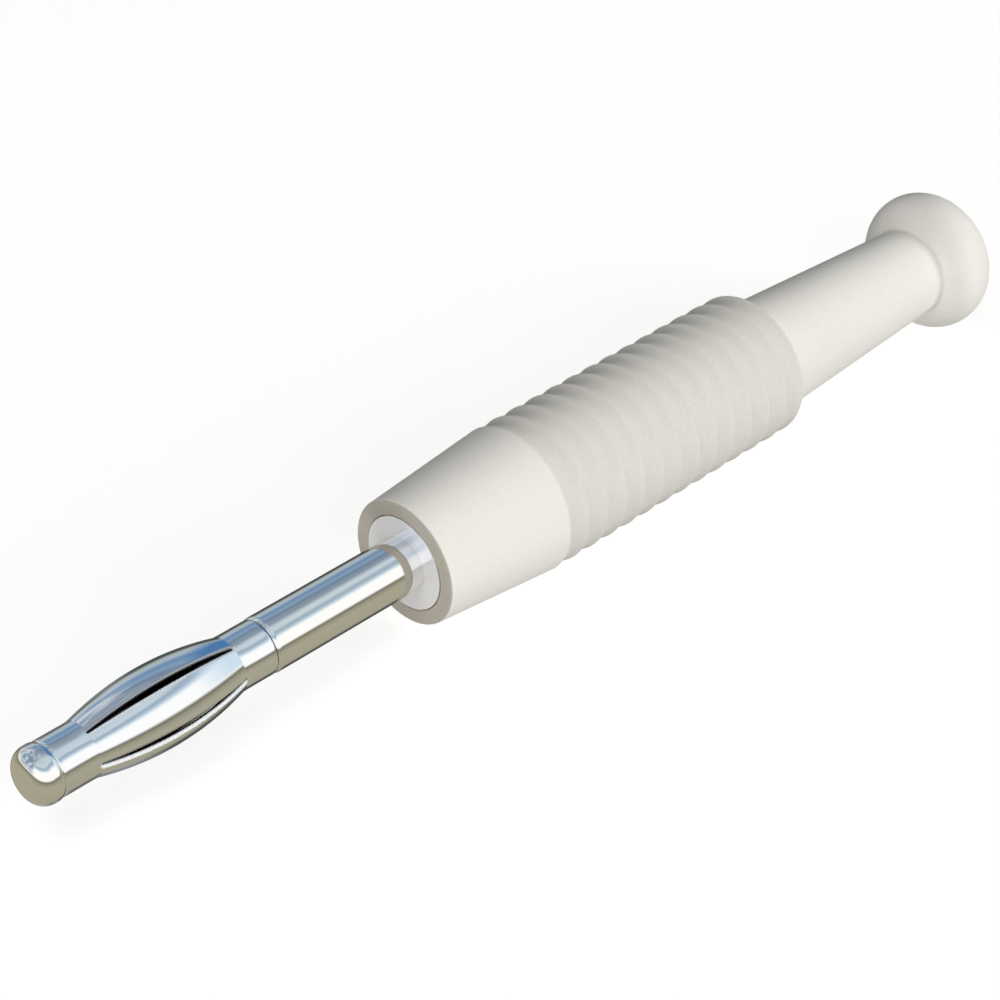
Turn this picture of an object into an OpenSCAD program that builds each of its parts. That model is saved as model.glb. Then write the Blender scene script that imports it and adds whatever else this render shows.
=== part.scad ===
// Miniature banana plug with a lantern-spring pin and a slip-on insulating sleeve.
// The axis lies along X: the pin points to -X and the lead leaves at +X.
// The origin is the centre of the shoulder, flush with the front face of the sleeve.
// Lengths are in millimetres.

/* [Contact pin] */
// Diameter of the plain shank and of the nose head
pin_d = 2.3; // [1.8:0.05:3]
// Length of the pin from the shoulder to the end of the nose
pin_len = 18; // [14:0.5:26]
// Length of the nose head in front of the spring
head_len = 1; // [0.8:0.05:1.6]
// Radius of the rounded nose
nose_r = 0.7; // [0.3:0.05:0.75]
// Chamfer on the turned edges beside the neck
edge_chamfer = 0.05; // [0.02:0.01:0.1]

/* [Lantern spring] */
// Number of bowed leaves
leaf_count = 5; // [3:1:6]
// Thickness of the spring sheet
sheet_t = 0.2; // [0.1:0.01:0.24]
// How far the collars lie below the shank's surface
collar_drop = 0.03; // [0.01:0.01:0.08]
// Length of the plain collar at each end
collar_len = 1.46; // [0.6:0.02:2]
// Length of the bowed stretch between the collars
bow_len = 6.8; // [5:0.1:10]
// Rise of the leaves above the collars
bow_rise = 0.45; // [0.2:0.05:0.6]
// Radius that blends each leaf into its collar
blend_r = 0.5; // [0.3:0.1:3]
// Width of a slot at its round ends
slot_end_w = 0.24; // [0.16:0.02:0.4]
// Extra width of a slot at its middle
slot_swell = 0.26; // [0.1:0.02:0.5]
// Distance from the start of the bow to the end of a slot
slot_inset = 0.05; // [0.05:0.05:0.5]
// Angle of the first slot from the top, towards -Y
slot_angle = 22; // [0:1:71]
// Slot that continues through both collars as the rolled seam
seam_slot = 2; // [0:1:2]
// Width of the seam
seam_w = 0.12; // [0.06:0.02:0.2]
// Radial play of the collars on the neck
spring_play = 0.04; // [0.02:0.01:0.08]
// Axial gap between the nose head and the front collar
front_gap = 0.03; // [0.02:0.01:0.1]
// Axial gap between the rear collar and the shank
rear_gap = 0.04; // [0.02:0.01:0.3]

/* [Contact body] */
// Length of the body that the sleeve grips
body_len = 9; // [6:0.5:12]
// Radial gap between the body and the sleeve's front bore
body_gap = 0.03; // [0.02:0.01:0.08]
// Number of turned relief grooves round the body
relief_count = 2; // [1:1:3]
// Width of a relief groove
relief_w = 1.4; // [0.6:0.1:1.6]
// Depth of a relief groove
relief_depth = 0.22; // [0.1:0.02:0.4]
// Length of the solder tail behind the body
solder_len = 6; // [4:0.5:8]
// Radial gap between the solder tail and the chamber round it
solder_gap = 0.3; // [0.05:0.05:0.4]
// Diameter of the wire cup
cup_d = 1.5; // [1:0.1:1.6]
// Depth of the wire cup
cup_depth = 4.5; // [3:0.1:5]
// Length of the open side of the wire cup
window_len = 2.4; // [1:0.1:2.8]
// Height of the cup's cut edge above the axis
window_lip = 0.25; // [0:0.05:0.5]

/* [Sleeve front] */
// Diameter of the front bore
bore_d = 4; // [3.6:0.1:4.4]
// Diameter of the front edge
front_d = 5.26; // [5:0.02:5.8]
// Radius on the front edge
front_edge_r = 0.12; // [0.05:0.01:0.25]
// Length of the cone behind the front edge
cone_len = 5.93; // [3:0.1:9]

/* [Grip] */
// Diameter over the rib crests
grip_d = 6.29; // [6:0.05:7.5]
// Number of scallops along the grip
scallop_count = 13; // [8:1:18]
// Distance from crest to crest
scallop_pitch = 1.075; // [0.8:0.025:1.4]
// Depth of a scallop
scallop_depth = 0.12; // [0.06:0.01:0.2]
// Width of the flat left on a crest
crest_w = 0.04; // [0.02:0.01:0.1]

/* [Tail] */
// Diameter of the tail tube where it leaves the grip
tail_front_d = 5.06; // [4.6:0.02:5.6]
// Diameter of the tail tube at the bead
tail_rear_d = 3.82; // [3.6:0.02:4.6]
// Length of the tail from the grip to the middle of the bead
tail_len = 12.3; // [6:0.1:18]
// Diameter of the bead at the rear end
bead_d = 6.23; // [5.4:0.01:7]
// Radius of the bead's round edge
bead_r = 1.4; // [0.9:0.05:1.5]
// Diameter of the chamber round the solder tail
chamber_d = 3.3; // [3.1:0.1:3.6]
// Free length of the chamber behind the solder tail
chamber_room = 2; // [0.5:0.1:4]
// Diameter of the lead bore
lead_d = 2.8; // [2.2:0.1:3]
// Chamfer at the mouth of the lead bore
mouth_chamfer = 0.3; // [0.1:0.05:0.5]

/* [Hidden] */

// Facets of a full turn and of a small arc
turn_fn = 128;
arc_fn = 96;
// Steps along a leaf's arc and along each of its blends
bow_steps = 24;
blend_steps = 3;
// Steps along each side of a slot and round each of its ends
lens_steps = 11;
end_steps = 8;
// Overshoot of cutting shapes
over = 1;

// Stations along the axis, from the nose to the rear of the contact
nose_x = -pin_len;
head_x = nose_x + head_len;
spring_len = bow_len + 2 * collar_len;
spring_x = head_x + front_gap;
neck_end_x = spring_x + spring_len + rear_gap;
bow_x = spring_x + spring_len / 2;
cup_end_x = body_len + solder_len;
cup_floor_x = cup_end_x - cup_depth;

// Radii of the contact
pin_r = pin_d / 2;
collar_r = pin_r - collar_drop;
neck_r = collar_r - sheet_t - spring_play;
body_r = bore_d / 2 - body_gap;
solder_r = chamber_d / 2 - solder_gap;
drill_point = cup_d / 2 * tan(31);

// A leaf is one wide arc that two small arcs blend into the collars
bow_half = bow_len / 2;
arc_sum = (bow_half * bow_half + bow_rise * bow_rise) / (2 * bow_rise);
bow_r = arc_sum - blend_r;
bow_centre_r = collar_r + bow_rise - bow_r;
bow_a = asin(bow_half / arc_sum);

// A slot is a lens between two wide arcs, with round ends
slot_half = bow_half - slot_inset;
lens_half = slot_half - slot_end_w / 2;
lens_r = (lens_half * lens_half + pow(slot_swell / 2, 2)) / slot_swell;
lens_a = asin(lens_half / lens_r);
slot_mid_w = slot_end_w + slot_swell;
slot_pitch = 360 / leaf_count;

// Stations and radii of the sleeve
front_r = front_d / 2;
grip_r = grip_d / 2;
grip_end_x = cone_len + scallop_count * scallop_pitch;
bead_x = grip_end_x + tail_len;
bead_centre_r = bead_d / 2 - bead_r;
chamber_end_x = cup_end_x + chamber_room;
sleeve_end_x = bead_x + bead_r;
cone_angle = atan((grip_r - front_r) / cone_len);
edge_centre_r = front_r + front_edge_r * (tan(cone_angle) - 1 / cos(cone_angle));
scallop_chord = scallop_pitch - crest_w;
scallop_r = (pow(scallop_chord / 2, 2) + pow(scallop_depth, 2)) / (2 * scallop_depth);

// Turns a profile drawn as radius and station about the X axis
module turned() {
    rotate([0, 90, 0])
        rotate_extrude($fn = turn_fn)
            children();
}

// A band of a profile, from the axis out to a radius
module band(r, from_x, to_x) {
    translate([0, from_x])
        square([r, to_x - from_x]);
}

// A band with a chamfer on its outer edge at each end
module chamfered_band(r, from_x, to_x, from_c, to_c) {
    polygon([
        [0, from_x],
        [r - from_c, from_x],
        [r, from_x + from_c],
        [r, to_x - to_c],
        [r - to_c, to_x],
        [0, to_x]
    ]);
}

// The cut that opens a bore in a profile, from beyond the axis out to a radius
module bore_band(r, from_x, to_x) {
    translate([-over, from_x])
        square([r + over, to_x - from_x]);
}

module nose_profile() {
    intersection() {
        union() {
            band(pin_r - nose_r, nose_x, head_x);
            translate([pin_r - nose_r, nose_x + nose_r])
                circle(nose_r, $fn = arc_fn);
        }
        band(pin_r, nose_x, nose_x + nose_r);
    }
    chamfered_band(pin_r, nose_x + nose_r, head_x, 0, edge_chamfer);
}

module body_profile() {
    land_w = (body_len - relief_count * relief_w) / (relief_count + 1);
    difference() {
        band(body_r, 0, body_len);
        for (i = [1 : relief_count])
            translate([body_r - relief_depth, i * land_w + (i - 1) * relief_w])
                square([relief_depth + over, relief_w]);
    }
}

module contact_profile() {
    nose_profile();
    band(neck_r, head_x, neck_end_x);
    chamfered_band(pin_r, neck_end_x, 0, edge_chamfer, 0);
    body_profile();
    band(solder_r, body_len, cup_end_x);
}

// The drilled wire cup and the cut that opens its side
module wire_cup() {
    translate([cup_floor_x, 0, 0])
        rotate([0, 90, 0])
            cylinder(r = cup_d / 2, h = cup_depth + over, $fn = turn_fn);
    translate([cup_floor_x - drill_point, 0, 0])
        rotate([0, 90, 0])
            cylinder(r1 = 0, r2 = cup_d / 2, h = drill_point, $fn = turn_fn);
    translate([cup_end_x - window_len, -solder_r - over, window_lip])
        cube([window_len + over, 2 * (solder_r + over), solder_r + over]);
}

module contact_pin() {
    color("#c9ccd0")
        difference() {
            turned()
                contact_profile();
            wire_cup();
        }
}

// Points on an arc about a centre, from one angle to another
function arc_points(centre, r, from_a, to_a, steps) = [
    for (i = [0 : steps])
        let (a = from_a + (to_a - from_a) * i / steps)
            centre + r * [cos(a), sin(a)]
];

// One face of the sheet from end to end, as far below the outer face as inset says
function sheet_face(inset) = concat(
    [[collar_r - inset, spring_x]],
    arc_points([collar_r + blend_r, bow_x - bow_half], blend_r + inset, 180, 180 - bow_a, blend_steps),
    arc_points([bow_centre_r, bow_x], bow_r - inset, -bow_a, bow_a, bow_steps),
    arc_points([collar_r + blend_r, bow_x + bow_half], blend_r + inset, 180 + bow_a, 180, blend_steps),
    [[collar_r - inset, spring_x + spring_len]]
);

function reversed(points) = [for (i = [len(points) - 1 : -1 : 0]) points[i]];

module spring_profile() {
    polygon(concat(sheet_face(0), reversed(sheet_face(sheet_t))));
}

// The same points without the first and the last
function inner_points(points) = [for (i = [1 : len(points) - 2]) points[i]];

// Outline of a slot, centred, with its length along x
module slot_outline() {
    lens_centre = lens_r - slot_mid_w / 2;
    polygon(concat(
        arc_points([0, -lens_centre], lens_r, 90 - lens_a, 90 + lens_a, lens_steps),
        inner_points(arc_points([-lens_half, 0], slot_end_w / 2, 90, 270, end_steps)),
        arc_points([0, lens_centre], lens_r, 270 - lens_a, 270 + lens_a, lens_steps),
        inner_points(arc_points([lens_half, 0], slot_end_w / 2, -90, 90, end_steps))
    ));
}

// A radial cut straight up from the axis through the sheet
module radial_cut() {
    linear_extrude(pin_r + bow_rise + over)
        children();
}

module lantern_spring() {
    color("#bcc2c9")
        difference() {
            turned()
                spring_profile();
            for (i = [0 : leaf_count - 1])
                rotate([slot_angle + i * slot_pitch, 0, 0])
                    translate([bow_x, 0, 0])
                        radial_cut()
                            slot_outline();
            rotate([slot_angle + seam_slot * slot_pitch, 0, 0])
                translate([bow_x, 0, 0])
                    radial_cut()
                        square([spring_len + over, seam_w], center = true);
        }
}

module sleeve_outline() {
    polygon([
        [0, 0],
        [edge_centre_r, 0],
        [edge_centre_r + front_edge_r * cos(cone_angle), front_edge_r * (1 - sin(cone_angle))],
        [grip_r, cone_len],
        [grip_r, grip_end_x],
        [tail_front_d / 2, grip_end_x],
        [tail_rear_d / 2, bead_x],
        [0, bead_x]
    ]);
    translate([edge_centre_r, front_edge_r])
        circle(front_edge_r, $fn = arc_fn);
    translate([bead_centre_r, bead_x])
        circle(bead_r, $fn = arc_fn);
}

module sleeve_profile() {
    difference() {
        sleeve_outline();
        for (i = [0 : scallop_count - 1])
            translate([
                grip_r - scallop_depth + scallop_r,
                cone_len + (i + 0.5) * scallop_pitch
            ])
                circle(scallop_r, $fn = arc_fn);
        bore_band(bore_d / 2, -over, body_len);
        bore_band(chamber_d / 2, body_len - over, chamber_end_x);
        bore_band(lead_d / 2, chamber_end_x - over, sleeve_end_x + over);
        polygon([
            [-over, sleeve_end_x + over],
            [-over, sleeve_end_x - mouth_chamfer],
            [lead_d / 2, sleeve_end_x - mouth_chamfer],
            [lead_d / 2 + mouth_chamfer + over, sleeve_end_x + over]
        ]);
    }
}

module insulating_sleeve() {
    color("#eeebe4")
        turned()
            sleeve_profile();
}

contact_pin();
lantern_spring();
insulating_sleeve();
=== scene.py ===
import math

import bmesh
import bpy
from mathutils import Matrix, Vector


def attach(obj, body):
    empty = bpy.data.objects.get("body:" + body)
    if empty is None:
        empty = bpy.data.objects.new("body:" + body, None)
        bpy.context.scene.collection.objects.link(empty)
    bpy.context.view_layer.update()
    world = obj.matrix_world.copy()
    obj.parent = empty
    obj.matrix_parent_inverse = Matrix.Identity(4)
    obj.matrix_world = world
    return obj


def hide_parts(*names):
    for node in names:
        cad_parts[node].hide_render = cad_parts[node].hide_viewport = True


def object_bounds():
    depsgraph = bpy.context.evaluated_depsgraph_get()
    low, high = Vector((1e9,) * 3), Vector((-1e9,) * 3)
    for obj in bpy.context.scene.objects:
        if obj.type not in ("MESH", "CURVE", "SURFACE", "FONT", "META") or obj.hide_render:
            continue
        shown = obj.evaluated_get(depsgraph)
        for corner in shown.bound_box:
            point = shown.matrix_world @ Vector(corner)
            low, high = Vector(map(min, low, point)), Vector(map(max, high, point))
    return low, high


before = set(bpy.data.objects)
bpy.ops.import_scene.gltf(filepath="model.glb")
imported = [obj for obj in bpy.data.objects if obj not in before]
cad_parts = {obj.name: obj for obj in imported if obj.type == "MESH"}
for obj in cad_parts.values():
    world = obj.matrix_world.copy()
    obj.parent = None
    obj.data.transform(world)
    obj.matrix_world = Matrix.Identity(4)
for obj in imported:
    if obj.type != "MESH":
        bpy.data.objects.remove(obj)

# A slim banana plug: turned contact pin, lantern spring on its neck, moulded insulating sleeve.
# The pieces are drawn in millimetres and brought to metres when they are finished.
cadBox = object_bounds()
scene = bpy.context.scene
metresPerMm = 0.001
sameSpot = 0.001          # mm, nearer than this counts as the same place
sharpFrom = 40            # degrees between faces that stay a crisp corner
bumpReach = 0.02          # mm, full height of a bump
print("frame loaded:", ", ".join(sorted(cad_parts)))


# Small helpers
def hexToLinear(code):
    channels = [int(code[i:i + 2], 16) / 255 for i in (1, 3, 5)]
    linear = [c / 12.92 if c <= 0.04045 else ((c + 0.055) / 1.055) ** 2.4 for c in channels]
    return (*linear, 1.0)


def addNode(tree, kind, settings=None, links=None, stops=None):
    node = tree.nodes.new("ShaderNode" + kind)
    for name, value in (settings or {}).items():
        if isinstance(name, int) or name in node.inputs:
            node.inputs[name].default_value = value
        else:
            setattr(node, name, value)
    for name, socket in (links or {}).items():
        tree.links.new(socket, node.inputs[name])
    for i, (position, code) in enumerate(stops or []):
        ramp = node.color_ramp.elements
        stop = ramp[i] if i < 2 else ramp.new(position)
        stop.position = position
        stop.color = hexToLinear(code)
    return node


def arcPoints(centre, radius, fromDegrees, toDegrees, steps):
    sweep = toDegrees - fromDegrees
    turns = [math.radians(fromDegrees + sweep * i / steps) for i in range(steps + 1)]
    return [(centre[0] + radius * math.cos(a), centre[1] + radius * math.sin(a)) for a in turns]


# A point may carry a third number, the radius that eases its corner
def easedOutline(points, closed, steps=6):
    outline = []
    for i, point in enumerate(points):
        here = Vector(point[:2])
        ease = point[2] if len(point) > 2 else 0
        if not ease or (not closed and i in (0, len(points) - 1)):
            outline.append(tuple(here))
            continue
        before = (Vector(points[i - 1][:2]) - here).normalized()
        after = (Vector(points[(i + 1) % len(points)][:2]) - here).normalized()
        half = before.angle(after) / 2
        centre = here + (before + after).normalized() * (ease / math.sin(half))
        start = here + before * (ease / math.tan(half)) - centre
        end = here + after * (ease / math.tan(half)) - centre
        sweep = start.angle_signed(end)
        first = math.atan2(start.y, start.x)
        for k in range(steps + 1):
            a = first - sweep * k / steps
            outline.append((centre.x + ease * math.cos(a), centre.y + ease * math.sin(a)))
    return outline


# Point at a station, a radius and an angle from the top towards -Y
def aroundAxis(x, radius, angle):
    return (x, -radius * math.sin(angle), radius * math.cos(angle))


def joinRings(mesh, ringA, ringB):
    count = max(len(ringA), len(ringB))
    for i in range(count):
        j = (i + 1) % count
        corners = [ringA[i % len(ringA)], ringA[j % len(ringA)]]
        corners += [ringB[j % len(ringB)], ringB[i % len(ringB)]]
        mesh.faces.new(list(dict.fromkeys(corners)))                # a point on the axis is named once


def turnOutline(outline, segments, closed):
    mesh = bmesh.new()
    rings = []
    for x, radius in outline:
        count = segments if radius > sameSpot else 1
        turns = [2 * math.pi * i / count for i in range(count)]
        rings.append([mesh.verts.new(aroundAxis(x, radius, turn)) for turn in turns])
    for ringA, ringB in zip(rings, rings[1:] + (rings[:1] if closed else [])):
        joinRings(mesh, ringA, ringB)
    bmesh.ops.recalc_face_normals(mesh, faces=mesh.faces)
    return mesh


def pieceFrom(name, mesh, materials=()):
    data = bpy.data.meshes.new(name)
    mesh.to_mesh(data)
    mesh.free()
    for material in materials:
        data.materials.append(material)
    piece = bpy.data.objects.new(name, data)
    scene.collection.objects.link(piece)
    return piece


def applyModifiers(piece):
    graph = bpy.context.evaluated_depsgraph_get()
    result = bpy.data.meshes.new_from_object(piece.evaluated_get(graph))
    piece.modifiers.clear()
    piece.data = result


# Smooth faces with crisp corners, then metres and place in the frame
def finishPiece(piece, body, node):
    piece.data.shade_smooth()
    piece.data.set_sharp_from_angle(angle=math.radians(sharpFrom))
    normals = piece.modifiers.new("evenNormals", "WEIGHTED_NORMAL")
    normals.keep_sharp = True
    applyModifiers(piece)
    for vertex in piece.data.vertices:
        vertex.co *= metresPerMm
    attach(piece, body)
    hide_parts(node)
    print("piece:", piece.name, len(piece.data.polygons), "faces")


# Camera at the photograph's viewing angle
cameraSetup = {
    "lens": 100.0,                      # mm, on a 36 mm sensor
    "sensor": 36.0,
    "target": (5.374, 0.175, 0.175),    # mm in the frame
    "distance": 108.9,                  # mm
    "direction": (-1.0, -1.0, 1.0),     # from the target to the camera
    "clip": (0.002, 5.0),               # metres
}


def makeCamera(setup):
    data = bpy.data.cameras.new("plugCamera")
    data.lens = setup["lens"]
    data.sensor_width = setup["sensor"]
    data.clip_start, data.clip_end = setup["clip"]
    camera = bpy.data.objects.new("plugCamera", data)
    scene.collection.objects.link(camera)
    towards = Vector(setup["direction"]).normalized()
    target = Vector(setup["target"]) * metresPerMm
    camera.location = target + towards * setup["distance"] * metresPerMm
    camera.rotation_euler = towards.to_track_quat("Z", "Y").to_euler()
    scene.camera = camera


makeCamera(cameraSetup)
print("camera placed")


# Starts a material and gives its shader and its place in the piece
def startMaterial(name, settings):
    material = bpy.data.materials.new(name)
    material.use_nodes = True
    tree = material.node_tree
    shader = tree.nodes["Principled BSDF"]
    for socket, value in settings.items():
        shader.inputs[socket].default_value = value
    place = addNode(tree, "TexCoord").outputs["Object"]
    return material, tree, shader, place


# Lets a pattern vary the roughness between two values
def varyRoughness(tree, shader, pattern, span):
    spread = addNode(tree, "MapRange", {"To Min": span[0], "To Max": span[1]}, {"Value": pattern})
    tree.links.new(spread.outputs["Result"], shader.inputs["Roughness"])


# Lets a pattern raise the surface by a share of the full bump
def raiseSurface(tree, shader, pattern, depth):
    ridges = addNode(tree, "Bump", {"Strength": depth, "Distance": bumpReach * metresPerMm},
                     {"Height": pattern})
    tree.links.new(ridges.outputs["Normal"], shader.inputs["Normal"])


# Nickel plate on turned brass: bright, slightly warm grey, with lathe lines too faint to break the mirror
turnedNickel = {
    "colour": "#EFEEEB",
    "roughness": (0.05, 0.09),
    "lathePitch": 0.06,      # mm, drawn coarser than the real 0.02 so that it shows
    "latheDepth": 0.012,     # share of full bump
}


def makeTurnedNickel(look):
    material, tree, shader, place = startMaterial(
        "nickelPlatedTurnedBrass", {"Base Color": hexToLinear(look["colour"]), "Metallic": 1.0})
    perPitch = 1 / (look["lathePitch"] * metresPerMm)
    scaled = addNode(tree, "Mapping", {"Scale": (perPitch, perPitch, perPitch)}, {"Vector": place})
    along = addNode(tree, "SeparateXYZ", links={"Vector": scaled.outputs["Vector"]})
    lines = addNode(tree, "TexNoise", {"noise_dimensions": "1D", "Scale": 1.0, "Detail": 2.0},
                    {"W": along.outputs["X"]})
    varyRoughness(tree, shader, lines.outputs[0], look["roughness"])
    raiseSurface(tree, shader, lines.outputs[0], look["latheDepth"])
    return material


# Nickel plate on rolled spring sheet: as bright as the pin, with faint rolling streaks along the leaves
rolledNickel = {
    "colour": "#EDEEEE",
    "roughness": (0.05, 0.10),
    "streakWidth": 0.08,     # mm across the streaks
    "streakLength": 3.0,     # mm along them
    "streakDepth": 0.01,     # share of full bump
}


def makeRolledNickel(look):
    material, tree, shader, place = startMaterial(
        "nickelPlatedSpringSheet", {"Base Color": hexToLinear(look["colour"]), "Metallic": 1.0})
    perLength = 1 / (look["streakLength"] * metresPerMm)
    perWidth = 1 / (look["streakWidth"] * metresPerMm)
    scaled = addNode(tree, "Mapping", {"Scale": (perLength, perWidth, perWidth)}, {"Vector": place})
    streaks = addNode(tree, "TexNoise", {"Scale": 1.0, "Detail": 3.0}, {"Vector": scaled.outputs["Vector"]})
    varyRoughness(tree, shader, streaks.outputs[0], look["roughness"])
    raiseSurface(tree, shader, streaks.outputs[0], look["streakDepth"])
    return material


# Faces unlike the plated outside: a satin shoulder and torn slot walls, painted shade on the neck and the
# sheet's inside, painted highlight on the slot edges
satinShoulder = {             # faced and tumbled before plating: a pale satin that mirrors only weakly
    "name": "satinNickelShoulder",
    "colour": "#F6F6FC",
    "metallic": 0.36,
    "roughness": (0.10, 0.15),
    "patch": 0.5,            # mm, size of the uneven spots
}
paintedShadeNeck = {                # hidden under the spring: painted shade on the recess, dark so that the slots look black
    "name": "paintedShadeNeckRecess",
    "colour": "#1E2022",
    "metallic": 0.6,
    "roughness": (0.35, 0.45),
    "patch": 0.3,
}
punchedWall = {               # broken through by the punch: torn grain, mid grey
    "name": "punchedSlotWall",
    "colour": "#A8ABB0",
    "metallic": 1.0,
    "roughness": (0.22, 0.34),
    "patch": 0.05,
}
paintedHighlightEdge = {             # painted highlight: whitish edge roundings that stand in for the light they catch
    "name": "paintedHighlightSlotEdge",
    "colour": "#FBFCFD",
    "metallic": 0.3,
    "roughness": (0.22, 0.26),
    "patch": 0.1,
}
sheetInside = {               # inside of the rolled tube: dark grey painted shade, so that the slots look black
    "name": "paintedShadeSheetInside",
    "colour": "#26282B",
    "metallic": 0.7,
    "roughness": (0.30, 0.42),
    "patch": 0.2,
}


def makeDullerMetal(look):
    material, tree, shader, place = startMaterial(
        look["name"], {"Base Color": hexToLinear(look["colour"]), "Metallic": look["metallic"]})
    spots = addNode(tree, "TexNoise", {"Scale": 1 / (look["patch"] * metresPerMm), "Detail": 2.0},
                    {"Vector": place})
    varyRoughness(tree, shader, spots.outputs[0], look["roughness"])
    return material


# Warm white polyamide, injection moulded: satin with a fine spark-eroded grain, matter on the grip, and a
# painted shade, darker and browner, on the front rim
mouldedWhite = {
    "gripFrom": 5.93,        # mm, stations of the matter grip
    "gripTo": 19.9,
    "gripFade": 0.08,
    "smooth": ("#ECE9E2", "#F0EDE6"),    # darker and lighter speckle
    "matt": ("#DCD9D1", "#E2DFD7"),
    # painted shade for the front rim: darker and browner than the rest
    "shadedRim": ("#B0AA9E", "#B6B0A4"),
    "rimTo": 0.04,           # mm, station where the front rim's painted shade ends
    "rimFade": 0.03,
    "speckle": 0.13,         # mm
    "speckleFrom": (0.3, 0.7),           # share of the noise from darker to lighter
    "ior": 1.53,
    "roughness": 0.58,
    "specular": 0.12,
    "grain": 0.09,           # mm, drawn coarser than the real 0.03 so that it shows
    "grainDepth": 0.10,      # share of full bump
}


def makeMouldedWhite(look):
    material, tree, shader, place = startMaterial(
        "mouldedWhitePolyamide",
        {"Roughness": look["roughness"], "IOR": look["ior"], "Specular IOR Level": look["specular"]})
    perMm = 1 / metresPerMm
    inMm = addNode(tree, "Mapping", {"Scale": (perMm, perMm, perMm)}, {"Vector": place})
    along = addNode(tree, "SeparateXYZ", links={"Vector": inMm.outputs["Vector"]})
    start, end, fade = look["gripFrom"], look["gripTo"], look["gripFade"]
    enters = addNode(tree, "MapRange", {"From Min": start - fade, "From Max": start + fade},
                     {"Value": along.outputs["X"]})
    leaves = addNode(tree, "MapRange", {"From Min": end + fade, "From Max": end - fade},
                     {"Value": along.outputs["X"]})
    onGrip = addNode(tree, "Math", {"operation": "MULTIPLY"},
                     {0: enters.outputs["Result"], 1: leaves.outputs["Result"]})
    grain = addNode(tree, "TexNoise", {"Scale": 1 / look["grain"], "Detail": 3.0},
                    {"Vector": inMm.outputs["Vector"]})
    speckle = addNode(tree, "TexNoise", {"Scale": 1 / look["speckle"], "Detail": 2.0},
                      {"Vector": inMm.outputs["Vector"]})
    smooth, matt, shadedRim = [addNode(tree, "ValToRGB", links={"Fac": speckle.outputs[0]},
                                 stops=list(zip(look["speckleFrom"], look[finish])))
                         for finish in ("smooth", "matt", "shadedRim")]
    body = addNode(tree, "Mix", {"data_type": "RGBA"},
                   {0: onGrip.outputs[0], 6: smooth.outputs["Color"], 7: matt.outputs["Color"]})
    # The front rim takes the painted shade colour
    rimTo, rimFade = look["rimTo"], look["rimFade"]
    onRim = addNode(tree, "MapRange", {"From Min": rimTo + rimFade, "From Max": rimTo},
                    {"Value": along.outputs["X"]})
    colour = addNode(tree, "Mix", {"data_type": "RGBA"},
                     {0: onRim.outputs[0], 6: body.outputs[2], 7: shadedRim.outputs["Color"]})
    tree.links.new(colour.outputs[2], shader.inputs["Base Color"])
    raiseSurface(tree, shader, grain.outputs[0], look["grainDepth"])
    return material


# Contact pin, turned in one piece: nose head, neck, shank, shoulder, gripped body and solder tail
contactPin = {
    "radius": 1.15,
    "noseEnd": -18.0,
    "noseRound": 0.7,
    "noseSteps": 20,
    "headEnd": -16.975,
    "neckRadius": 0.88,
    "neckEnd": -7.245,
    "neckShadeReach": 0.1,       # height above the neck that the painted shade reaches
    "ringRound": 0.32,       # soft, so that the seams beside the spring show as shallow rings
    "ringLean": 35.0,        # degrees that the rounding turns
    "ringSteps": 5,
    "shoulderEdge": 0.03,
    "bodyRadius": 1.985,
    "bodyEnd": 9.0,
    "bodyEdge": 0.08,
    "reliefs": 2,
    "reliefWidth": 1.4,
    "reliefDepth": 0.22,
    "reliefEdge": 0.04,
    "grooveFillet": 0.03,    # in the corners of the neck and the reliefs
    "tailRadius": 1.35,
    "tailEnd": 15.0,
    "tailFillet": 0.05,
    "tailEdge": 0.06,
    "cupRadius": 0.75,
    "cupFloor": 10.5,
    "cupEdge": 0.05,         # at the mouth and the floor
    "drillPoint": 31.0,      # degrees between the drilled floor and a flat one
    "windowStart": 12.6,
    "windowLip": 0.25,
    "windowPast": 1.0,       # how far the cut runs past the tail
    "segments": 160,
}


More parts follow.
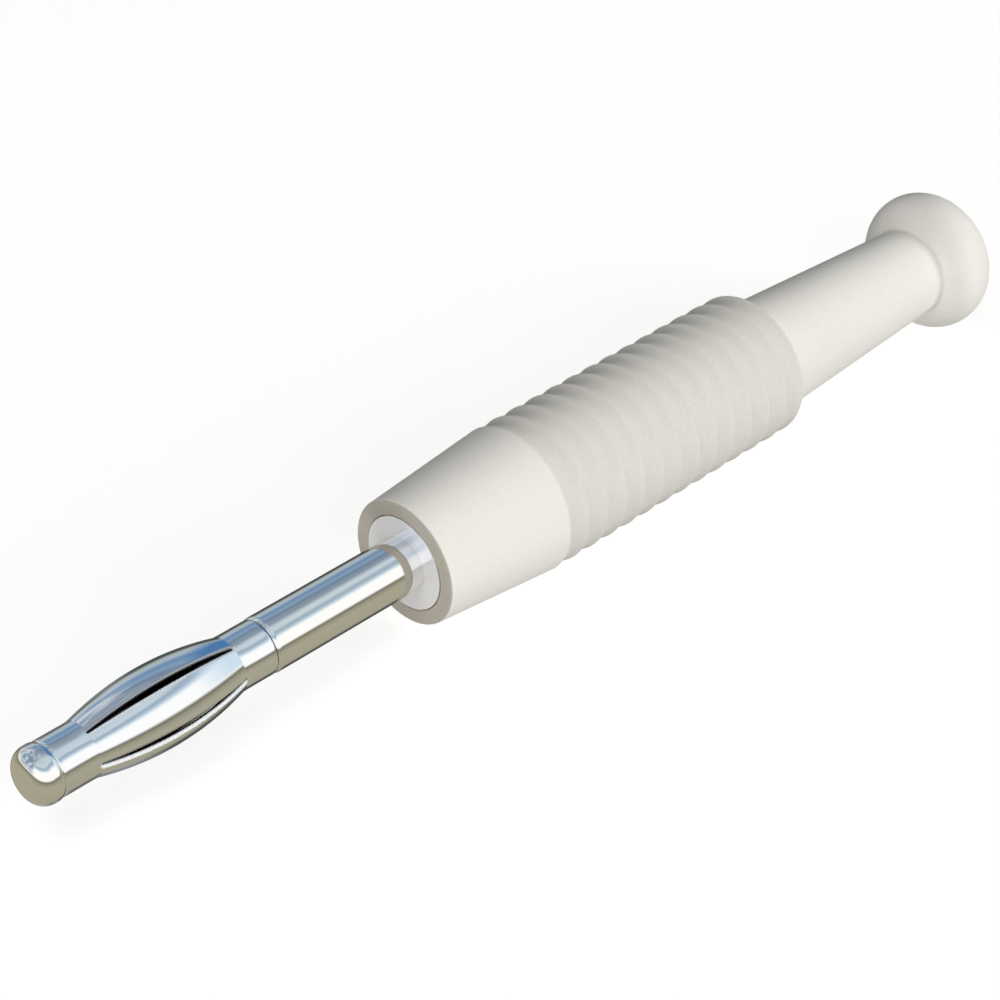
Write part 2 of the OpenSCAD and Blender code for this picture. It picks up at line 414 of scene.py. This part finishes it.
def makeContactPin(pin, materials):
    r, bodyR = pin["radius"], pin["bodyRadius"]
    ring, lean = pin["ringRound"], pin["ringLean"]
    ringReach = ring * math.sin(math.radians(lean))
    nose, ease = pin["noseEnd"], pin["noseRound"]
    head, neck, neckR, fillet = pin["headEnd"], pin["neckEnd"], pin["neckRadius"], pin["grooveFillet"]
    points = [(nose, 0), *arcPoints((nose + ease, r - ease), ease, 180, 90, pin["noseSteps"])]
    points += arcPoints((head - ringReach, r - ring), ring, 90, 90 - lean, pin["ringSteps"])
    points += [(head, neckR, fillet), (neck, neckR, fillet)]
    points += arcPoints((neck + ringReach, r - ring), ring, 90 + lean, 90, pin["ringSteps"])
    points += [(0, r), (0, bodyR, pin["shoulderEdge"])]
    land = (pin["bodyEnd"] - pin["reliefs"] * pin["reliefWidth"]) / (pin["reliefs"] + 1)
    floorR, reliefEdge = bodyR - pin["reliefDepth"], pin["reliefEdge"]
    for i in range(pin["reliefs"]):
        start = land + i * (land + pin["reliefWidth"])
        end = start + pin["reliefWidth"]
        points += [(start, bodyR, reliefEdge), (start, floorR, fillet)]
        points += [(end, floorR, fillet), (end, bodyR, reliefEdge)]
    tailR, tailEnd, cupR, cupFloor = pin["tailRadius"], pin["tailEnd"], pin["cupRadius"], pin["cupFloor"]
    points += [(pin["bodyEnd"], bodyR, pin["bodyEdge"]), (pin["bodyEnd"], tailR, pin["tailFillet"])]
    points += [(tailEnd, tailR, pin["tailEdge"]), (tailEnd, cupR, pin["cupEdge"])]
    points += [(cupFloor, cupR, pin["cupEdge"])]
    points += [(cupFloor - cupR * math.tan(math.radians(pin["drillPoint"])), 0)]
    mesh = turnOutline(easedOutline(points, False), pin["segments"], False)
    shoulderLook, neckShadeIndex = 1, 2                                   # places in the materials' list
    # Faces on the neck recess under the spring take a painted shade
    for face in mesh.faces:
        at = face.calc_center_median()
        if abs(at.x) < sameSpot:                                    # only the flat shoulder is satin
            face.material_index = shoulderLook
        elif head < at.x < neck and at.yz.length < neckR + pin["neckShadeReach"]:
            face.material_index = neckShadeIndex
    piece = pieceFrom("turnedContactPin", mesh, materials)
    cutter = bmesh.new()     # opens the side of the wire cup
    bmesh.ops.create_cube(cutter, size=1)
    reach = 2 * tailR
    length = tailEnd - pin["windowStart"] + pin["windowPast"]
    for corner in cutter.verts:                                     # the cube's own corners lie at +-0.5
        corner.co.x = pin["windowStart"] + (corner.co.x + 0.5) * length
        corner.co.y *= 2 * reach
        corner.co.z = pin["windowLip"] + (corner.co.z + 0.5) * reach
    window = pieceFrom("cupWindow", cutter)
    cut = piece.modifiers.new("cupWindow", "BOOLEAN")
    cut.operation = "DIFFERENCE"
    cut.object = window
    applyModifiers(piece)
    bpy.data.objects.remove(window)
    finishPiece(piece, "contact", "contact_pin")


# Lantern spring: slotted sheet rolled round the neck, leaves bowed outwards between two plain collars
lanternSpring = {
    "frontEnd": -16.97,
    "sheet": 0.2,
    "collarRadius": 1.12,
    "collarLength": 1.46,
    "bowLength": 6.8,
    "bowRise": 0.45,
    "blendRadius": 0.5,
    "leaves": 5,
    "slotEndWidth": 0.08,    # between the walls; the rounded edges open it to 0.30
    "slotSwell": 0.18,
    "slotInset": 0.09,
    "slotAngle": 22.0,       # degrees from the top towards -Y
    "seamSlot": 2,           # slot that goes on through both collars
    "seamWidth": 0.12,
    "outerEdge": 0.11,       # rounding that punching and plating leave on the edges
    "innerEdge": 0.05,
    "edgeSteps": 4,
    "edgeLean": 0.1,         # sine of the lean that tells one side of an edge from the other
    "plainEnd": 0.3,         # past a slot's end by this much, an edge is the collar's own
    "columns": 12,           # faces across a leaf
    "rows": 44,              # faces along a slot
    "endRows": 6,            # faces along a slot's round end, and along a collar
}


def makeLanternSpring(spring, materials):
    bowHalf = spring["bowLength"] / 2
    half = bowHalf + spring["collarLength"]
    middle = spring["frontEnd"] + half
    collarR, blendR, rise = spring["collarRadius"], spring["blendRadius"], spring["bowRise"]
    arcSum = (bowHalf ** 2 + rise ** 2) / (2 * rise)
    bowR = arcSum - blendR
    bowReach = bowR * bowHalf / arcSum              # where the leaf's arc meets its blend
    endHalf = spring["slotEndWidth"] / 2
    slotHalf = bowHalf - spring["slotInset"]
    lensHalf = slotHalf - endHalf
    midHalf = endHalf + spring["slotSwell"] / 2
    lensR = (lensHalf ** 2 + (midHalf - endHalf) ** 2) / (2 * (midHalf - endHalf))

    def leafRadius(d):
        if abs(d) >= bowHalf:
            return collarR
        if abs(d) <= bowReach:
            return collarR + rise - bowR + math.sqrt(bowR ** 2 - d ** 2)
        return collarR + blendR - math.sqrt(blendR ** 2 - (bowHalf - abs(d)) ** 2)

    def slotHalfWidth(d, slot):
        width = 0.0
        if abs(d) <= lensHalf:
            width = midHalf - lensR + math.sqrt(lensR ** 2 - d ** 2)
        elif abs(d) < slotHalf:
            width = math.sqrt(endHalf ** 2 - (abs(d) - lensHalf) ** 2)
        return max(width, spring["seamWidth"] / 2) if slot == spring["seamSlot"] else width

    rows, endRows = spring["rows"], spring["endRows"]
    roundEnd = [lensHalf + endHalf * math.sin(math.radians(90 * i / endRows)) for i in range(1, endRows + 1)]
    collar = [slotHalf + (half - slotHalf) * i / endRows for i in range(1, endRows + 1)]
    ahead = roundEnd + collar
    lens = [lensHalf * (2 * i / rows - 1) for i in range(rows + 1)]
    stations = [-d for d in reversed(ahead)] + lens + ahead
    mesh = bmesh.new()
    shared = {}
    pitch = 2 * math.pi / spring["leaves"]
    firstSlot = math.radians(spring["slotAngle"])

    # Edges of neighbouring leaves are one line where no slot parts them
    def corner(row, leaf, column):
        d = stations[row]
        radius = leafRadius(d)
        slotA, slotB = leaf, (leaf + 1) % spring["leaves"]
        openA = math.asin(slotHalfWidth(d, slotA) / radius)
        openB = math.asin(slotHalfWidth(d, slotB) / radius)
        key = (row, leaf, column)
        if column == spring["columns"] and openB * radius < sameSpot:
            key = (row, slotB, 0)
        if key not in shared:
            start = firstSlot + leaf * pitch + openA
            end = firstSlot + (leaf + 1) * pitch - openB
            turn = start + (end - start) * column / spring["columns"]
            shared[key] = mesh.verts.new(aroundAxis(middle + d, radius, turn))
        return shared[key]

    for row in range(len(stations) - 1):
        for leaf in range(spring["leaves"]):
            for column in range(spring["columns"]):
                mesh.faces.new([corner(row, leaf, column), corner(row, leaf, column + 1),
                                corner(row + 1, leaf, column + 1), corner(row + 1, leaf, column)])
    piece = pieceFrom("bowedLanternSpring", mesh, materials)
    # The sheet's inside carries a painted shade and the edge roundings a painted highlight
    outside, wall, inside, highlightEdge = range(4)        # places in the materials' list
    thicken = piece.modifiers.new("sheet", "SOLIDIFY")
    thicken.thickness = spring["sheet"]
    thicken.offset = -1                             # the drawn face is the outside
    thicken.use_even_offset = True
    thicken.material_offset_rim = wall
    thicken.material_offset = inside
    applyModifiers(piece)
    sides = {}
    for face in piece.data.polygons:
        for key in face.edge_keys:
            sides.setdefault(key, set()).add(face.material_index)
    weights = piece.data.attributes.new("bevel_weight_edge", "FLOAT", "EDGE")
    for edge in piece.data.edges:
        if sides[edge.key] == {outside, wall}:
            weights.data[edge.index].value = 1.0
        elif sides[edge.key] == {wall, inside}:
            weights.data[edge.index].value = spring["innerEdge"] / spring["outerEdge"]
    edges = piece.modifiers.new("punchedEdges", "BEVEL")
    edges.width = spring["outerEdge"]
    edges.segments = spring["edgeSteps"]
    edges.material = highlightEdge
    edges.use_clamp_overlap = False
    edges.loop_slide = False
    edges.limit_method = "WEIGHT"
    applyModifiers(piece)
    # Edge roundings keep the painted highlight unless they lean inwards, where they take the inside's painted
    # shade, or face onwards round the axis, where they take the wall's grey; so the highlight lies along one
    # side of each slot
    lean = spring["edgeLean"]
    for face in piece.data.polygons:
        if face.material_index != highlightEdge:
            continue
        outward = Vector((0, face.center.y, face.center.z)).normalized()
        onwards = Vector((0, -outward.z, outward.y))
        if abs(face.center.x - middle) > slotHalf + spring["plainEnd"]:
            face.material_index = outside
        elif face.normal.dot(outward) < -lean:
            face.material_index = inside
        elif face.normal.dot(onwards) > lean:
            face.material_index = wall
    finishPiece(piece, "spring", "lantern_spring")


# Insulating sleeve: cone, grip of shallow scallops, tapered tail and round bead, bored through
insulatingSleeve = {
    "boreRadius": 2.0,
    "boreEnd": 9.0,
    "boreEdge": 0.05,
    "frontRadius": 2.63,
    "frontEdge": 0.12,
    "coneEnd": 5.93,
    "gripRadius": 3.145,
    "scallops": 13,
    "scallopPitch": 1.075,
    "scallopDepth": 0.12,
    "crestWidth": 0.04,
    "crestRound": 0.09,      # the mould's rounding of the crests
    "gripEdge": 0.05,
    "scallopSteps": 14,
    "coneCrestSteps": 6,
    "tailFrontRadius": 2.53,
    "tailRearRadius": 1.91,
    "tailLength": 12.3,
    "tailFillet": 0.12,
    "beadRadius": 3.115,     # overall
    "beadRound": 1.4,
    "beadStop": 8.0,         # degrees before the rearmost point, where the end face takes over
    "beadSteps": 48,
    "beadFillet": 0.15,
    "stopEdge": 0.06,        # both corners of the face that stops the contact
    "chamberRadius": 1.65,
    "chamberEnd": 17.0,
    "chamberFillet": 0.08,
    "leadRadius": 1.4,
    "leadEdge": 0.1,
    "mouthChamfer": 0.3,
    "mouthEdge": 0.1,
    "mouthFillet": 0.15,
    "roundSteps": 8,         # along a small rounding
    "segments": 192,
}


def makeInsulatingSleeve(sleeve, materials):
    coneEnd, gripR, pitch = sleeve["coneEnd"], sleeve["gripRadius"], sleeve["scallopPitch"]
    gripEnd = coneEnd + sleeve["scallops"] * pitch
    beadX = gripEnd + sleeve["tailLength"]
    beadRound = sleeve["beadRound"]
    beadCentre = Vector((beadX, sleeve["beadRadius"] - beadRound))
    bore, lip, edge = sleeve["boreRadius"], sleeve["boreEdge"], sleeve["frontEdge"]
    slope = math.atan2(gripR - sleeve["frontRadius"], coneEnd)
    edgeCentre = (edge, sleeve["frontRadius"] + edge * (math.tan(slope) - 1 / math.cos(slope)))
    chordHalf = (pitch - sleeve["crestWidth"]) / 2
    depth, crest = sleeve["scallopDepth"], sleeve["crestRound"]
    scallopR = (chordHalf ** 2 + depth ** 2) / (2 * depth)
    scallopCentre = gripR - depth + scallopR
    crestLean = math.degrees(math.asin(pitch / 2 / (scallopR + crest)))
    crestCentre = scallopCentre - (scallopR + crest) * math.cos(math.radians(crestLean))
    roundSteps, coneLean = sleeve["roundSteps"], 90 + math.degrees(slope)
    points = [(0, bore, lip), *arcPoints(edgeCentre, edge, 180, coneLean, roundSteps)]
    points += arcPoints((coneEnd, crestCentre), crest, coneLean, 90 - crestLean, sleeve["coneCrestSteps"])
    rearEdge = sleeve["gripEdge"]
    rearLean = math.degrees(math.asin((pitch / 2 - rearEdge) / (scallopR + rearEdge)))
    for i in range(sleeve["scallops"]):
        last = i == sleeve["scallops"] - 1
        lean = rearLean if last else crestLean
        hollow = (coneEnd + (i + 0.5) * pitch, scallopCentre)
        points += arcPoints(hollow, scallopR, 270 - crestLean, 270 + lean, sleeve["scallopSteps"])[1:]
        if not last:
            top = (hollow[0] + pitch / 2, crestCentre)
            points += arcPoints(top, crest, 90 + crestLean, 90 - crestLean, roundSteps)[1:]
    rearCentre = scallopCentre - (scallopR + rearEdge) * math.cos(math.radians(rearLean))
    points += arcPoints((gripEnd - rearEdge, rearCentre), rearEdge, 90 + rearLean, 0, roundSteps)[1:]
    tailFront = sleeve["tailFrontRadius"]
    points += [(gripEnd, tailFront, sleeve["tailFillet"])]
    # The fillet between tail and bead touches the tail's line and the bead's circle
    along = Vector((sleeve["tailLength"], sleeve["tailRearRadius"] - tailFront)).normalized()
    fillet = sleeve["beadFillet"]
    lifted = Vector((gripEnd, tailFront)) + fillet * Vector((-along.y, along.x))
    reach = (beadCentre - lifted).dot(along)
    apart = (beadCentre - lifted - reach * along).length
    filletCentre = lifted + (reach - math.sqrt((beadRound + fillet) ** 2 - apart ** 2)) * along
    toBead = beadCentre - filletCentre
    toBeadDegrees = math.degrees(math.atan2(toBead.y, toBead.x))
    tailLean = math.degrees(math.atan2(along.y, along.x))
    points += arcPoints(filletCentre, fillet, 270 + tailLean, 360 + toBeadDegrees, roundSteps)
    points += arcPoints(beadCentre, beadRound, 180 + toBeadDegrees, sleeve["beadStop"],
                        sleeve["beadSteps"])[1:]
    end, lead, mouth = beadX + beadRound, sleeve["leadRadius"], sleeve["mouthChamfer"]
    chamberR, chamberEnd = sleeve["chamberRadius"], sleeve["chamberEnd"]
    boreEnd, stopEdge = sleeve["boreEnd"], sleeve["stopEdge"]
    points += [(end, lead + mouth, sleeve["mouthEdge"]), (end - mouth, lead, sleeve["mouthFillet"])]
    points += [(chamberEnd, lead, sleeve["leadEdge"]), (chamberEnd, chamberR, sleeve["chamberFillet"])]
    points += [(boreEnd, chamberR, stopEdge), (boreEnd, bore, stopEdge)]
    outline = easedOutline(points, True)
    piece = pieceFrom("mouldedSleeve", turnOutline(outline, sleeve["segments"], True), materials)
    finishPiece(piece, "sleeve", "insulating_sleeve")


makeContactPin(contactPin, [makeTurnedNickel(turnedNickel), makeDullerMetal(satinShoulder),
                            makeDullerMetal(paintedShadeNeck)])
makeLanternSpring(lanternSpring, [makeRolledNickel(rolledNickel), makeDullerMetal(punchedWall),
                                  makeDullerMetal(sheetInside), makeDullerMetal(paintedHighlightEdge)])
makeInsulatingSleeve(insulatingSleeve, [makeMouldedWhite(mouldedWhite)])


# Studio: pale floor, broad soft lights, and a sky that is only seen as a mirror image
studio = {
    "floorColour": "#9A9A99",
    "floorRoughness": 0.9,
    "floorGlowColour": "#F6F6F5",
    "floorGlow": 0.86,           # evens out the floor and keeps the shadow faint
    "floorHalf": 0.6,            # metres
    "floorGap": 0.02,            # mm below the plug
    "ambient": 0.03,
    "lightDistance": 0.50,       # metres
    "lightSize": 0.24,
    "lights": [                  # name, direction from the plug, power
        ("softKey", (0.64, -0.735, 0.22), 1.80),
        ("softSide", (-0.45, -0.75, 0.48), 0.68),
        ("softTop", (-0.45, -0.15, 0.88), 0.93),
        ("tableBounce", (-0.5, -0.4, -0.77), 0.96),
        ("frontFill", (-1.0, 0.0, 0.0), 1.06),
        ("backFill", (0.577, 0.577, -0.577), 2.1),
    ],
    "mirrorStrength": 1.15,
    # What the plating mirrors, by degrees above the horizon, on the near (-Y) and the far (+Y) side
    "nearSky": [
        (-90, "#A09B88"), (-20, "#A7A391"), (-7, "#96927F"), (-3, "#7B796B"), (0, "#7A786A"),
        (3, "#BEBEB8"), (6.5, "#FFFFFF"), (34, "#FFFFFF"), (39, "#D6E6EF"), (44, "#ADC0D1"),
        (49, "#9AACBF"), (52, "#ABBBC8"), (55, "#C5D3DC"), (90, "#B4C4D2"),
    ],
    "farSky": [
        (-90, "#4C5150"), (-6, "#4C5150"), (-1, "#5C605D"), (3, "#A0A6A2"), (14, "#ACB8BE"),
        (20, "#A1B3C4"), (26, "#8099B5"), (32, "#6E8AAB"), (38, "#7A98B7"), (43, "#839EBA"),
        (48, "#778BA4"), (51, "#71839A"), (55, "#8594A4"), (90, "#96A5B4"),
    ],
    # Each pair says between which parts of a direction, -1 to 1, a sky comes in
    "farFrom": (-0.11, 0.11),        # along Y
    "groundFrom": (0.05, 0.2),       # along Z, above the ground
    "behindFrom": (0.0, 0.3),        # along X, where the ground parts into near and far too
    "clearSky": "#4C78AC",           # deeper blue towards +X on the far side
    "clearFrom": (0.59, 0.69),
    "hazeSky": "#CDE2EE",            # pale blue towards +X on the near side
    "hazeFrom": (0.60, 0.80),
    "cloud": "#CDD3DA",              # patches of cloud towards -X on the far side
    "cloudFrom": (0.45, 0.2),
    "cloudScale": 3.0,
    "cloudEdge": (0.44, 0.62),       # share of the noise from clear to cloud
}


def makeStudio(setup):
    floorMesh = bmesh.new()
    bmesh.ops.create_grid(floorMesh, x_segments=2, y_segments=2, size=setup["floorHalf"])
    paint = bpy.data.materials.new("paleTable")
    paint.use_nodes = True
    shader = paint.node_tree.nodes["Principled BSDF"]
    shader.inputs["Base Color"].default_value = hexToLinear(setup["floorColour"])
    shader.inputs["Roughness"].default_value = setup["floorRoughness"]
    shader.inputs["Emission Color"].default_value = hexToLinear(setup["floorGlowColour"])
    shader.inputs["Emission Strength"].default_value = setup["floorGlow"]
    floor = pieceFrom("paleFloor", floorMesh, [paint])
    floor.location.z = cadBox[0].z - setup["floorGap"] * metresPerMm
    for kind in ("diffuse", "glossy", "transmission", "shadow"):    # the floor only catches the shadow
        setattr(floor, "visible_" + kind, False)

    middle = (cadBox[0] + cadBox[1]) / 2
    for name, direction, power in setup["lights"]:
        lampData = bpy.data.lights.new(name, "AREA")
        lampData.size = setup["lightSize"]
        lampData.energy = power
        lamp = bpy.data.objects.new(name, lampData)
        scene.collection.objects.link(lamp)
        towards = Vector(direction).normalized()
        lamp.location = middle + towards * setup["lightDistance"]
        lamp.rotation_euler = towards.to_track_quat("Z", "Y").to_euler()
        lamp.visible_glossy = False                                 # the sky is what mirrors

    world = bpy.data.worlds.new("studio")
    scene.world = world
    world.use_nodes = True
    tree = world.node_tree
    tree.nodes.clear()
    gaze = addNode(tree, "TexCoord").outputs["Generated"]
    parts = addNode(tree, "SeparateXYZ", links={"Vector": gaze})
    height = addNode(tree, "Math", {"operation": "ARCSINE"}, {0: parts.outputs["Z"]})
    share = addNode(tree, "MapRange", {"From Min": -math.pi / 2, "From Max": math.pi / 2},
                    {"Value": height.outputs[0]})
    near, far = [addNode(tree, "ValToRGB", links={"Fac": share.outputs["Result"]},
                         stops=[((degrees + 90) / 180, code) for degrees, code in setup[sky]])
                 for sky in ("nearSky", "farSky")]
    drift = addNode(tree, "TexNoise", {"Scale": setup["cloudScale"], "Detail": 2.0}, {"Vector": gaze})
    comesIn = {}
    for name, source in (("farFrom", parts.outputs["Y"]), ("groundFrom", parts.outputs["Z"]),
                         ("behindFrom", parts.outputs["X"]), ("clearFrom", parts.outputs["X"]),
                         ("hazeFrom", parts.outputs["X"]), ("cloudFrom", parts.outputs["X"]),
                         ("cloudEdge", drift.outputs[0])):
        first, full = setup[name]
        ramp = addNode(tree, "MapRange", {"From Min": first, "From Max": full}, {"Value": source})
        comesIn[name] = ramp.outputs["Result"]
    clear, hazy, cloudy = [addNode(tree, "Math", {"operation": "MULTIPLY"}, {0: comesIn[a], 1: comesIn[b]})
                           for a, b in (("clearFrom", "groundFrom"), ("hazeFrom", "groundFrom"),
                                        ("cloudEdge", "cloudFrom"))]
    nearSide = addNode(tree, "Mix", {"data_type": "RGBA", 7: hexToLinear(setup["hazeSky"])},
                       {0: hazy.outputs[0], 6: near.outputs["Color"]})
    clearSide = addNode(tree, "Mix", {"data_type": "RGBA", 7: hexToLinear(setup["clearSky"])},
                        {0: clear.outputs[0], 6: far.outputs["Color"]})
    farSide = addNode(tree, "Mix", {"data_type": "RGBA", 7: hexToLinear(setup["cloud"])},
                      {0: cloudy.outputs[0], 6: clearSide.outputs[2]})
    parted = addNode(tree, "Math", {"operation": "MAXIMUM"},       # the ground in front is one on both sides
                     {0: comesIn["groundFrom"], 1: comesIn["behindFrom"]})
    farShare = addNode(tree, "Math", {"operation": "MULTIPLY"}, {0: comesIn["farFrom"], 1: parted.outputs[0]})
    sky = addNode(tree, "Mix", {"data_type": "RGBA"},
                  {0: farShare.outputs[0], 6: nearSide.outputs[2], 7: farSide.outputs[2]})
    mirrored = addNode(tree, "Background", {"Strength": setup["mirrorStrength"]}, {"Color": sky.outputs[2]})
    ambient = addNode(tree, "Background", {"Color": (1, 1, 1, 1), "Strength": setup["ambient"]})
    backdrop = addNode(tree, "Background", {"Color": hexToLinear(setup["floorGlowColour"]),
                                            "Strength": setup["floorGlow"]})
    ray = addNode(tree, "LightPath")
    lit = addNode(tree, "MixShader", links={0: ray.outputs["Is Glossy Ray"], 1: ambient.outputs[0],
                                            2: mirrored.outputs[0]})
    seen = addNode(tree, "MixShader", links={0: ray.outputs["Is Camera Ray"], 1: lit.outputs[0],
                                             2: backdrop.outputs[0]})
    addNode(tree, "OutputWorld", links={"Surface": seen.outputs[0]})
    scene.view_settings.view_transform = "Standard"


makeStudio(studio)
print("studio lit")
